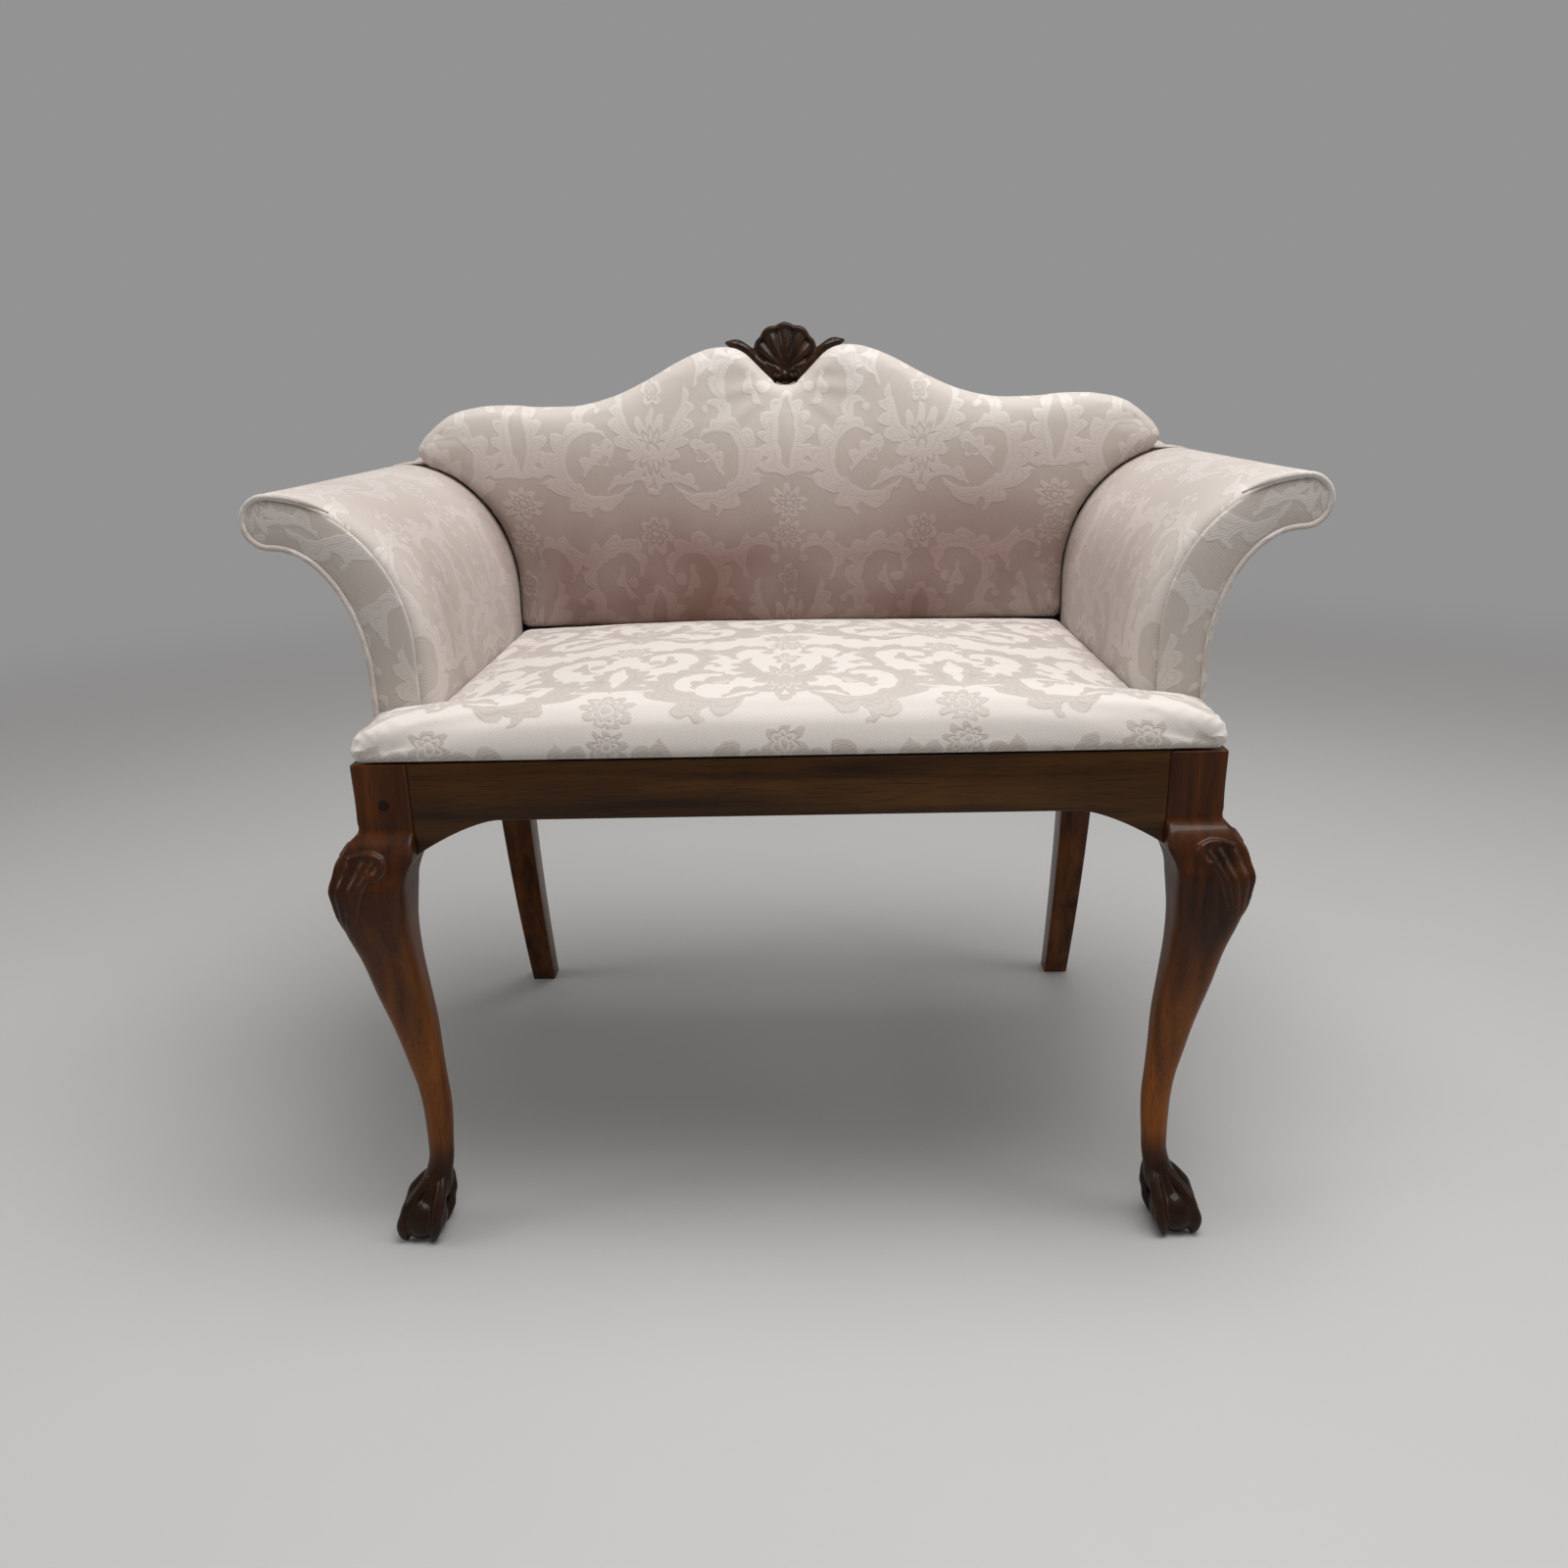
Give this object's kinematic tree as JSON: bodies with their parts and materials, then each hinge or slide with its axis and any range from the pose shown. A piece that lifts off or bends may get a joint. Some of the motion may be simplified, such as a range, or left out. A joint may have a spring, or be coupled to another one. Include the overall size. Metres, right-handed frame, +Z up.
{
  "type": "settee",
  "caption": "Small camel-back upholstered settee with flared rolled arms, a carved shell crest, cabriole front legs with claw-and-ball feet and raked rear legs.",
  "frame": {"origin": "middle of the floor area under the settee, on the floor", "axes": "+X to the right as seen from the front, +Y to the back, +Z up"},
  "size_m": [0.842, 0.5428, 0.7595],
  "materials": {
    "polished_mahogany": "french polished, worn",
    "rear_post_mahogany": "french polished, lighter",
    "carved_mahogany": "carved and stained, satin",
    "frame_beech": "bare, planed",
    "jute_webbing": "woven jute",
    "hessian": "plain woven jute",
    "damask_cover": "tone-on-tone satin damask",
    "welt_cord": "cord sewn into the same damask",
    "screw_steel": "plain steel"
  },
  "bodies": {
    "root": {"front_rail": "polished_mahogany", "right_side_rail": "polished_mahogany", "left_side_rail": "polished_mahogany", "rear_rail": "polished_mahogany", "right_front_leg": "polished_mahogany", "left_front_leg": "polished_mahogany", "right_rear_post": "rear_post_mahogany", "left_rear_post": "rear_post_mahogany", "corner_blocks": "frame_beech", "corner_block_screws": "screw_steel", "seat_webbing_lengthwise": "jute_webbing", "seat_webbing_crosswise": "jute_webbing", "seat_hessian": "hessian", "seat_cushion": "damask_cover", "back_top_rail": "frame_beech", "back_stay_rail": "frame_beech", "back_muntin": "frame_beech", "right_back_wing": "frame_beech", "left_back_wing": "frame_beech", "back_webbing_level": "jute_webbing", "back_webbing_upright": "jute_webbing", "back_cushion": "damask_cover", "outside_back": "damask_cover", "right_arm_post": "frame_beech", "left_arm_post": "frame_beech", "right_arm_top_rail": "frame_beech", "left_arm_top_rail": "frame_beech", "right_arm_tack_rail": "frame_beech", "left_arm_tack_rail": "frame_beech", "right_arm_pad": "damask_cover", "left_arm_pad": "damask_cover", "right_arm_facing": "damask_cover", "left_arm_facing": "damask_cover", "right_outside_arm": "damask_cover", "left_outside_arm": "damask_cover", "right_arm_welt": "welt_cord", "left_arm_welt": "welt_cord", "crest_carving": "carved_mahogany"}
  },
  "joints": []
}
